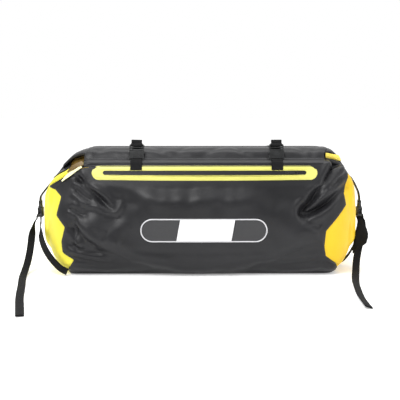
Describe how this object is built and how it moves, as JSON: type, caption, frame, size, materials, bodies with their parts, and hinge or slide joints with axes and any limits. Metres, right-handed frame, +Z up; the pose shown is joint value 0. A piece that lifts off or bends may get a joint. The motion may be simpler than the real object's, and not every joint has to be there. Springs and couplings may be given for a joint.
{
  "type": "duffel bag",
  "caption": "Horizontal roll-top dry duffel with domed contrast ends, a front zip pocket, buckled top straps and cinched ends with loose webbing tails.",
  "frame": {"origin": "centre of the bag's flat underside, on the surface it stands on", "axes": "+X along the bag towards its right end as seen from the front, -Y towards the front with the zip pocket, +Z up"},
  "size_m": [0.7584, 0.63, 0.2922],
  "materials": {
    "tarpaulin": "satin",
    "yellow_tarpaulin": "satin",
    "webbing": "matte",
    "zip_tape": "matte",
    "plastic": "satin",
    "steel": "satin",
    "print": "satin"
  },
  "bodies": {
    "trunk": {"front_panel": "tarpaulin", "back_panel": "tarpaulin", "base_panel": "tarpaulin", "left_end_panel": "yellow_tarpaulin", "right_end_panel": "yellow_tarpaulin", "pocket_welt": "yellow_tarpaulin", "zip_tape_upper": "zip_tape", "zip_tape_lower": "zip_tape", "zip_stop_left": "plastic", "zip_stop_right": "plastic", "pocket_liner": "tarpaulin", "badge": "print", "left_end_female": "plastic", "left_lower_web": "webbing", "left_tail": "webbing", "left_ring_tab": "webbing", "left_top_female": "plastic", "left_front_web": "webbing", "left_back_anchor": "webbing", "right_end_female": "plastic", "right_lower_web": "webbing", "right_tail": "webbing", "right_ring_tab": "webbing", "right_top_female": "plastic", "right_front_web": "webbing", "right_back_anchor": "webbing"},
    "closure": {"closure_roll": "tarpaulin", "closure_stiffener": "plastic", "left_roll_web": "webbing", "left_end_male": "plastic", "right_roll_web": "webbing", "right_end_male": "plastic"},
    "left_strap": {"left_strap_web": "webbing", "left_top_male": "plastic", "left_strap_stub": "webbing"},
    "right_strap": {"right_strap_web": "webbing", "right_top_male": "plastic", "right_strap_stub": "webbing"},
    "slider": {"zip_slider": "plastic"},
    "pull": {"zip_pull": "plastic"},
    "left_lash_ring": {"left_ring": "steel"},
    "right_lash_ring": {"right_ring": "steel"}
  },
  "joints": [
    {"name": "closure_lift", "type": "slide", "parent": "trunk", "child": "closure", "axis": [0, 0, 1], "range_m": [0, 0.12]},
    {"name": "left_strap_flip", "type": "hinge", "parent": "trunk", "child": "left_strap", "pos_m": [-0.138, 0.128, 0.212], "axis": [-1, 0, 0], "range_deg": [0, 140]},
    {"name": "right_strap_flip", "type": "hinge", "parent": "trunk", "child": "right_strap", "pos_m": [0.165, 0.128, 0.212], "axis": [-1, 0, 0], "range_deg": [0, 140]},
    {"name": "zip_slide", "type": "slide", "parent": "trunk", "child": "slider", "axis": [-1, 0, 0], "range_m": [0, 0.394]},
    {"name": "zip_pull_swing", "type": "hinge", "parent": "slider", "child": "pull", "pos_m": [0.207, -0.12358, 0.22265], "axis": [0, 0.3746, 0.9272], "range_deg": [0, 165]},
    {"name": "left_ring_swing", "type": "hinge", "parent": "trunk", "child": "left_lash_ring", "pos_m": [-0.3554, 0.026, 0.13], "axis": [0, 1, 0], "range_deg": [0, 110]},
    {"name": "right_ring_swing", "type": "hinge", "parent": "trunk", "child": "right_lash_ring", "pos_m": [0.3554, 0.026, 0.13], "axis": [0, -1, 0], "range_deg": [0, 110]}
  ],
  "couplings": [
    {"joint": "left_strap_flip", "follows": "closure_lift", "rad_per_m": 20.362},
    {"joint": "right_strap_flip", "follows": "closure_lift", "rad_per_m": 20.362}
  ]
}
